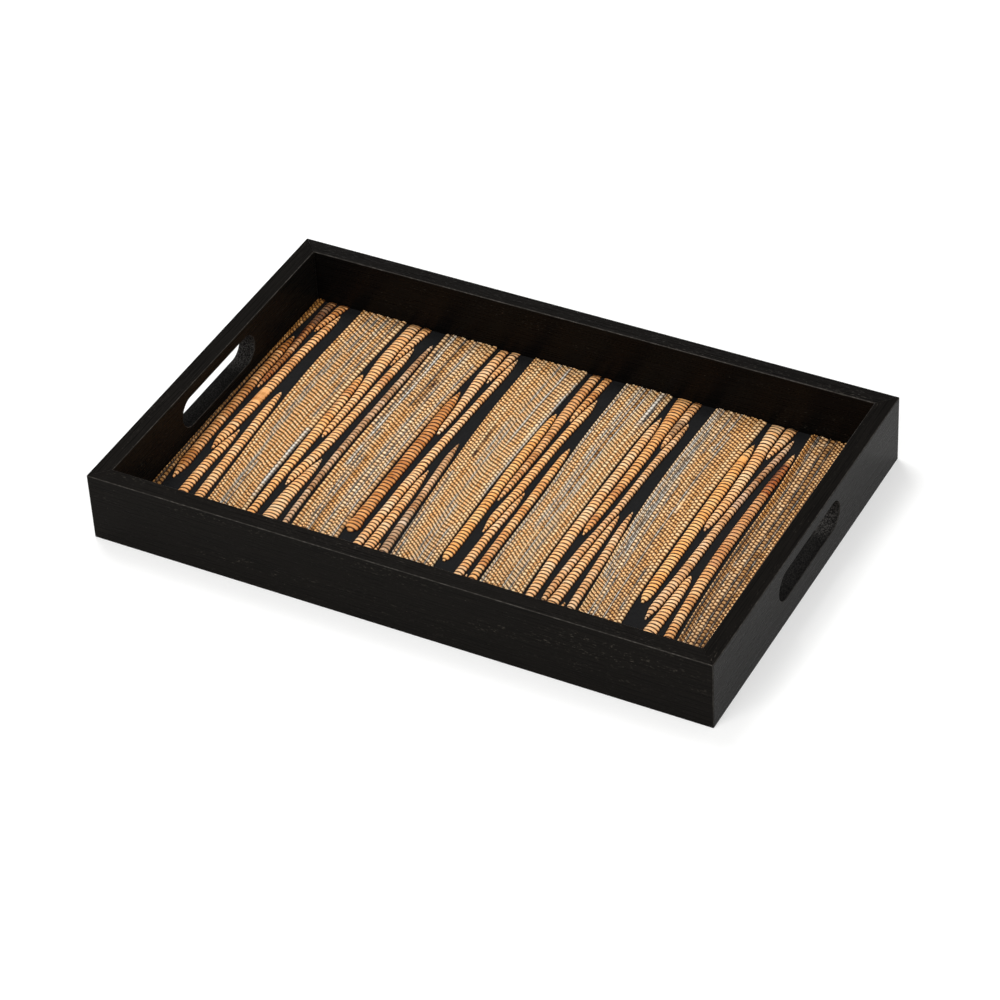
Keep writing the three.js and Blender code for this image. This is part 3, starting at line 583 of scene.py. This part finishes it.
def woven_piece(node, rings, marks, material):
    """Solid lofted through closed rings that run from front to back. Each ring goes from its left foot over
    the top to its right foot, and closes underneath. It stands for the CAD node of that name."""
    rows, around = rings.shape[:2]
    index = np.arange(rows * around).reshape(rows, around)
    beside = np.roll(index, -1, axis=1)
    sides = np.stack([index[:-1], beside[:-1], beside[1:], index[1:]], axis=-1).reshape(-1, 4)
    corners = np.concatenate([sides.ravel(), index[0][::-1], index[-1]])
    starts = np.concatenate([np.arange(len(sides)) * 4, len(sides) * 4 + np.arange(2) * around])
    mesh = bpy.data.meshes.new(node + "_woven")
    mesh.vertices.add(rows * around)
    mesh.vertices.foreach_set("co", rings.astype(np.float32).ravel())
    mesh.loops.add(len(corners))
    mesh.loops.foreach_set("vertex_index", corners.astype(np.int32))
    mesh.polygons.add(len(starts))
    mesh.polygons.foreach_set("loop_start", starts.astype(np.int32))
    mesh.polygons.foreach_set("use_smooth", np.arange(len(starts)) < len(sides))
    mesh.update(calc_edges=True)
    for mark, values in marks.items():
        layer = mesh.attributes.new(mark, "FLOAT", "POINT")
        layer.data.foreach_set("value", np.broadcast_to(values, (rows, around)).astype(np.float32).ravel())
    mesh.materials.append(material)
    piece = bpy.data.objects.new(node + "_woven", mesh)
    bpy.context.scene.collection.objects.link(piece)
    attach(piece, "root")
    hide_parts(node)


def swell_along(share, power):
    """Height along a rib from 0 at its threads to 1 on the crown: a power of a sine, with the crown drawn a
    little towards the front."""
    return np.sin(np.pi * share**CROWN_FORWARD) ** power


def pinch_along(share, reach):
    """Darkness along a rib, 1 at its threads: the dark thread and painted shade in its groove. Two bells,
    narrow behind the front thread and wide before the back one, where painted shade covers the rib's back
    slope, turned from the light."""
    return np.exp(-(share / reach[0]) ** 2) + np.exp(-((1 - share) / reach[1]) ** 2)


def stalk(node, material):
    """Flattened dome along the stalk: across it the height falls as a power of 1 - q^2 from crown to foot,
    q running from -1 to 1, and along it every rib swells between two threads. Each thread pinches with its
    own strength, and the ribs bow towards the back on the crown. The outline draws in under the threads,
    bare knots lose their ribs, and the height sinks towards an end that a rail presses down."""
    name = node.split("_")[1]
    random = np.random.default_rng([SEED, sorted(STALK_LOOKS).index(name)])
    tone, gold, grey = STALK_LOOKS[name]
    knots, left, right, top = stations(node)
    front, back = knots[0], knots[-1]
    depth, share, rib = thread_rows(random, front, back)
    tip = np.zeros_like(depth)
    pressed = np.zeros_like(depth)
    ends = ((depth - front, front < FLOOR_FRONT + END_TOLERANCE),
            (back - depth, back > FLOOR_BACK - END_TOLERANCE))
    for from_end, cut in ends:
        if cut:
            pressed = np.maximum(pressed, 1 - ease(0.0, PRESSED_LENGTH, from_end))
        else:
            tip = np.maximum(tip, 1 - ease(0.0, TIP_PALE, from_end))
    q = np.sin(np.linspace(-np.pi / 2, np.pi / 2, STALK_POINTS))
    marks = {kind: np.zeros((len(depth), STALK_POINTS)) for kind in ("stain", "rust", "grey", "bare")}
    marks["grey"] += grey
    for kind, start, end, strength, side in STALK_MARKS.get(name, ()):
        along = window(depth, start * MM, end * MM, MARK_SOFT)
        beside = ease(-MARK_SIDE, MARK_SIDE, side * q + MARK_SIDE * (side == 0))
        marks[kind] = np.maximum(marks[kind], strength * along[:, None] * beside)
    # Every row is held by the nearer of its rib's two threads
    thread = rib + (share >= 0.5)
    tightness = random.uniform(*THREAD_BITE, thread.max() + 1)[thread] * (1 - TIP_SLACK * tip)
    slack_place = 2 * np.pi * random.uniform(0.0, 1.0, thread.max() + 1)[thread]
    hold = tightness[:, None] * (1 - BITE_RIPPLE * np.sin(RIPPLE_TURN * q + slack_place[:, None]) ** 2)
    hold *= 1 - marks["bare"] * (1 - q**EDGE_POWER)
    sunk = (1 - swell_along(share, STALK_CROWN))[:, None] * hold
    middle = smooth_between(knots, (left + right) / 2, depth)
    half = smooth_between(knots, (right - left) / 2, depth) - EDGE_SCALLOP * sunk[:, -1]
    rise = STALK_SWELL * (smooth_between(knots, top, depth) - CLOTH_TOP)
    rise *= (1 - (1 - PRESSED_END) * pressed) * (1 + HEIGHT_DRIFT * drift(random, depth, HEIGHT_LENGTH))
    dome = (1 - q**2) ** DOME_POWER
    lean = RIB_LEAN * drift(random, depth, LEAN_LENGTH)
    bow = RIB_BOW * (1 - pressed)[:, None] * (BOW_ROUND * q**2 + (1 - BOW_ROUND) * q**EDGE_POWER)
    rings = np.empty((len(depth), STALK_POINTS, 3))
    rings[..., 0] = middle[:, None] + half[:, None] * q
    rings[..., 1] = np.clip(depth[:, None] + (lean * half)[:, None] * q - bow, front, back)
    rings[..., 2] = CLOTH_TOP + rise[:, None] * dome * (1 - STALK_GROOVE * sunk)
    of_rib = RIB_TONE * random.standard_normal(rib.max() + 1)[rib]
    of_stretch = STALK_TONE * drift(random, depth, STALK_TONE_LENGTH)
    woven_piece(node, rings, {
        # The rib is 0 in a pinch, and it also takes the painted shade at the stalk's feet
        "rib": (1 - pinch_along(share, STALK_PINCH)[:, None] * hold) * (1 - FOOT_SHADE * q**FOOT_POWER),
        "tone": (tone + of_rib + of_stretch + TIP_TONE * tip)[:, None] - BARE_TONE * marks["bare"],
        "gold": gold,
        "grey": marks["grey"],
        "rust": marks["rust"],
        "stain": marks["stain"],
    }, material)


def band(node, material):
    """Slanted weave of soft cords: each cord is a row of beads that lag behind the cord on its left, so
    that the beads of neighbours join into slanting ridges. Across a cord the height falls to the valley
    beside it as a power of 1 less a power of |q|, q running from -1 to 1. Along it a bead swells between
    two threads, and the line between two cords bends towards the lower one."""
    number = int(node.split("_")[2])
    random = np.random.default_rng([SEED, BAND_SEED + number])
    knots, left, right, top = stations(node)
    front, back = knots[0], knots[-1]
    depth, share, rib = thread_rows(random, front, back)
    left_edge = smooth_between(knots, left, depth)
    width = smooth_between(knots, right, depth) - left_edge
    mean_width = float(np.mean(width))

    def across_at(place, start, end):
        """Share of the band's width at which a place in mm lies, halfway along a stretch."""
        row = int(np.argmin(np.abs(depth - (start + end) / 2 * MM)))
        return float(np.clip((place * MM - left_edge[row]) / width[row], 0.0, 1.0))

    # Grey cords lie where the table puts them, and straw cords of uneven width fill the room between
    lines = [0.0]
    grey_places = sorted(across_at(*grey) for grey in GREY_CORDS[number])
    for place in grey_places + [1.0 + GREY_CORD / mean_width]:
        room = place - GREY_CORD / 2 / mean_width - lines[-1]
        straws = round(room * mean_width / STRAW_CORD)
        if straws > 0:
            uneven = np.cumsum(random.uniform(*CORD_UNEVEN, straws))
            lines.extend(lines[-1] + room * uneven / uneven[-1])
        if place < 1.0:
            lines.append(lines[-1] + GREY_CORD / mean_width)
    lines = np.array(lines) / lines[-1]
    cords = len(lines) - 1
    widths = np.diff(lines) * mean_width / STRAW_CORD

    marks = {kind: np.zeros((len(depth), cords)) for kind in ("grey", "stain", "pale")}
    wanted = [("grey", *grey, 1.0) for grey in GREY_CORDS[number]] + list(CORD_MARKS.get(number, ()))
    for kind, place, start, end, strength in wanted:
        chosen = int(np.clip(np.searchsorted(lines, across_at(place, start, end)) - 1, 0, cords - 1))
        fade = np.clip(MARK_FADE[0] + MARK_FADE[1] * drift(random, depth, FADE_LENGTH), 0.0, 1.0)
        mark = strength * fade * window(depth, start * MM, end * MM, CORD_MARK_SOFT)
        marks[kind][:, chosen] = np.maximum(marks[kind][:, chosen], mark)
    # The cords beside a grey one have taken some of its grey
    before = np.pad(marks["grey"], ((0, 0), (1, 0)))[:, :-1]
    after = np.pad(marks["grey"], ((0, 0), (0, 1)))[:, 1:]
    marks["grey"] = np.maximum(marks["grey"], GREY_WASH * np.maximum(before, after))

    q = np.linspace(-1, 1, CORD_STEPS, endpoint=False)
    lag = CORD_LEAN * widths
    first_bead = np.cumsum(lag + LEAN_SPREAD * random.standard_normal(cords)) - lag / 2
    shift = np.stack([BEAD_DRIFT * drift(random, depth, BEAD_LENGTH) for _ in range(cords)], axis=1)
    slant = (BEAD_SLANT * lag)[:, None] * q
    turn = (rib + share)[:, None, None] + shift[..., None] + first_bead[:, None] + slant
    bead = np.floor(turn).astype(int)
    swell = swell_along(turn - bead, BEAD_CROWN)
    middle_swell = swell[..., CORD_STEPS // 2]
    wander = np.stack([drift(random, depth, LINE_LENGTH) for _ in range(cords - 1)], axis=1)
    bend = LINE_WANDER * wander + LINE_BEND * (middle_swell[:, :-1] - middle_swell[:, 1:])
    inner = lines[1:-1] + np.minimum(widths[:-1], widths[1:]) * STRAW_CORD / mean_width * bend
    ones = np.ones((len(depth), 1))
    edges = np.concatenate([0 * ones, inner, ones], axis=1)
    across = edges[:, :-1, None] + np.diff(edges, axis=1)[..., None] * (q + 1) / 2
    crown = (1 - np.abs(q) ** CORD_ROUND) ** CORD_FALL
    height = (1 - BAND_DIP * (1 - swell)) * (1 - BAND_VALLEY * (1 - crown))
    across = np.concatenate([across.reshape(len(depth), -1), ones], axis=1)
    height = np.concatenate([height.reshape(len(depth), -1), (1 - BAND_VALLEY) * ones], axis=1)
    rise = (smooth_between(knots, top, depth) - CLOTH_TOP)[:, None]
    x = left_edge[:, None] + width[:, None] * across
    surface = np.stack([x, np.broadcast_to(depth[:, None], x.shape), CLOTH_TOP + rise * height], axis=-1)
    feet = surface[:, [0, -1]].copy()
    feet[..., 2] = CLOTH_TOP
    rings = np.concatenate([feet[:, :1], surface, feet[:, 1:]], axis=1)

    def over_points(values):
        """Spreads values per cord, or per step of a cord, over the points across the band, feet included."""
        points = np.broadcast_to(values, (len(depth), cords, CORD_STEPS)).reshape(len(depth), -1)
        return np.concatenate([points[:, :1], points, points[:, -1:], points[:, -1:]], axis=1)

    grey, pale, stain = [marks[kind][..., None] for kind in ("grey", "pale", "stain")]
    of_bead = BEAD_TONE * random.standard_normal((bead.max() + 1, cords))[bead, np.arange(cords)[:, None]]
    of_cord = BAND_TONES[number] + CORD_TONE * random.standard_normal(cords)
    # Painted highlight on the crest of a bead and painted shade in its dips
    painted_crest_light = CREST_HIGHLIGHT * (swell * crown - CREST_LEVEL)
    smooth = np.maximum(pale, GREY_SMOOTH * grey)
    unpinched = 1 - pinch_along(turn - bead, BEAD_PINCH) * (1 - SMOOTH_PINCH * smooth)
    # Painted shade in the valley between two cords and on the right flank of a grey cord
    unshaded = 1 - VALLEY_SHADE * np.abs(q) ** CORD_ROUND - GREY_SHADE * grey * ease(*GREY_FLANK, q)
    woven_piece(node, rings, {
        "rib": over_points(unpinched) * over_points(unshaded),
        "tone": over_points(of_cord[:, None] + of_bead + painted_crest_light + PALE_TONE * pale),
        "gold": STRAW_GOLD,
        "grey": over_points(grey),
        "rust": 0.0,
        "stain": over_points(stain),
    }, material)


def ground_cloth(material):
    """Flat cut of cloth on the board: a grid over the CAD cloth's top face, sunk below it in waves that
    follow the product of two sines, a few hundredths of a millimetre deep, as the glue leaves it."""
    low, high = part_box("ground_cloth")
    columns, rows = CLOTH_GRID
    x, y = np.meshgrid(np.linspace(low.x, high.x, columns), np.linspace(low.y, high.y, rows))
    z = high.z - CLOTH_RIPPLE * (1 + np.sin(x / RIPPLE_LENGTHS[0]) * np.sin(y / RIPPLE_LENGTHS[1]))
    index = np.arange(columns * rows).reshape(rows, columns)
    corners = [index[:-1, :-1], index[:-1, 1:], index[1:, 1:], index[1:, :-1]]
    faces = np.stack(corners, axis=-1).reshape(-1, 4)
    mesh = bpy.data.meshes.new("ground_cloth_laid")
    mesh.from_pydata(np.stack([x, y, z], axis=-1).reshape(-1, 3).tolist(), [], faces.tolist())
    mesh.polygons.foreach_set("use_smooth", np.ones(len(faces), dtype=bool))
    mesh.materials.append(material)
    piece = bpy.data.objects.new("ground_cloth_laid", mesh)
    bpy.context.scene.collection.objects.link(piece)
    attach(piece, "root")
    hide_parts("ground_cloth")


def studio_floor(material):
    """Flat round of paper under the tray: one face, its corners at even turns on a circle."""
    turns = np.linspace(0, 2 * np.pi, PAPER_CORNERS, endpoint=False)
    level = np.full_like(turns, -PAPER_GAP)
    rim = np.stack([PAPER_RADIUS * np.cos(turns), PAPER_RADIUS * np.sin(turns), level], axis=-1)
    mesh = bpy.data.meshes.new("studio_floor")
    mesh.from_pydata(rim.tolist(), [], [list(range(len(turns)))])
    mesh.materials.append(material)
    floor = bpy.data.objects.new("studio_floor", mesh)
    bpy.context.scene.collection.objects.link(floor)


def place_camera():
    """Camera on the fitted line of sight, rolled about it."""
    back = Vector((math.sin(VIEW_AZIMUTH) * math.cos(VIEW_ELEVATION),
                   -math.cos(VIEW_AZIMUTH) * math.cos(VIEW_ELEVATION), math.sin(VIEW_ELEVATION)))
    level = Vector((0.0, 0.0, 1.0)).cross(back).normalized()
    upright = back.cross(level)
    right = level * math.cos(VIEW_ROLL) + upright * math.sin(VIEW_ROLL)
    up = upright * math.cos(VIEW_ROLL) - level * math.sin(VIEW_ROLL)
    data = bpy.data.cameras.new("view")
    data.lens = VIEW_LENS_MM
    data.sensor_width = VIEW_SENSOR_MM
    camera = bpy.data.objects.new("view", data)
    camera.matrix_world = Matrix.Translation(VIEW_TARGET + back * VIEW_DISTANCE) @ Matrix(
        (right, up, back)).transposed().to_4x4()
    bpy.context.scene.collection.objects.link(camera)
    bpy.context.scene.camera = camera


def softbox(name, place, size, watts):
    """Square area lamp that looks at the middle of the tray and does not show itself."""
    data = bpy.data.lights.new(name, "AREA")
    data.size = size
    data.energy = watts
    lamp = bpy.data.objects.new(name, data)
    lamp.location = place
    lamp.rotation_euler = (-Vector(place)).to_track_quat("-Z", "Y").to_euler()
    lamp.visible_camera = False
    bpy.context.scene.collection.objects.link(lamp)


def studio_world():
    """Pale walls all round and a darker ceiling, as in a white cove: bright at the horizon, dim overhead."""
    world = bpy.data.worlds.new("studio")
    world.use_nodes = True
    tree = world.node_tree
    tree.nodes.clear()
    way = add_node(tree, "ShaderNodeTexCoord")
    axes = add_node(tree, "ShaderNodeSeparateXYZ", {}, {"Vector": (way, "Generated")})
    walls = add_node(tree, "ShaderNodeValToRGB", {}, {"Fac": (axes, "Z")}, tuple(
        (height, (light, light, light, 1.0)) for height, light in (WALL_LIGHT, CEILING_LIGHT)))
    surroundings = add_node(tree, "ShaderNodeBackground", {}, {"Color": walls})
    add_node(tree, "ShaderNodeOutputWorld", {}, {"Surface": surroundings})
    bpy.context.scene.world = world


place_camera()

# The oil was wiped on by hand, and the back rail has taken more of it: its inside mirrors the straw.
# The front and end rails take a lighter copy of the stain and the back rail a darker one: painted light and
# shade between the rails
lit_stain = ((0.1, linear("#0d0c0b")), (0.9, linear("#141210")))
shaded_stain = ((0.1, linear("#070605")), (0.9, linear("#0c0a09")))
wood_front = black_wood("black_stained_wood_front_rail", turn=0.0, stain_stops=lit_stain, oil=THIN_OIL)
wood_back = black_wood("black_stained_wood_back_rail", turn=0.0, stain_stops=shaded_stain, oil=FULL_OIL)
wood_ends = black_wood(
    "black_stained_wood_end_rails", turn=math.pi / 2, stain_stops=lit_stain, oil=THIN_OIL)
for rail, finish in (("front_rail", wood_front), ("back_rail", wood_back),
                     ("left_end_rail", wood_ends), ("right_end_rail", wood_ends)):
    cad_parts[rail].material_slots[0].material = finish
spline_wood = pale_spline_wood()
for corner in ("front_left", "front_right", "back_left", "back_right"):
    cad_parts["spline_" + corner].material_slots[0].material = spline_wood
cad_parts["base_board"].material_slots[0].material = black_board()

ground_cloth(black_cloth())

stalk_skin = dried_skin(
    "dried_hyacinth_stalk", fibre_width=0.5 * MM, roughness=0.42,
    skin_stops=((0.0, linear("#62371a")), (0.3, linear("#c07a3a")), (0.6, linear("#ffc384")),
                (1.0, linear("#ffe6c0"))),
    shade_stops=((0.0, linear("#ffffff")), (0.5, linear("#a08062")), (1.0, linear("#201208"))))
for name in STALK_LOOKS:
    stalk("stalk_" + name, stalk_skin)

cord_skin = dried_skin(
    "twisted_hyacinth_cord", fibre_width=0.4 * MM, roughness=0.45,
    skin_stops=((0.0, linear("#7d5228")), (0.3, linear("#c8904c")), (0.6, linear("#ffcc8e")),
                (1.0, linear("#ffe4b8"))),
    shade_stops=((0.0, linear("#ffffff")), (0.5, linear("#c2af9a")), (1.0, linear("#5e4c3a"))))
for number in GREY_CORDS:
    band("woven_band_" + str(number), cord_skin)

studio_floor(studio_paper())
for name, place, size, watts in SOFTBOXES:
    softbox(name, place, size, watts)
studio_world()
bpy.context.scene.view_settings.view_transform = "Standard"
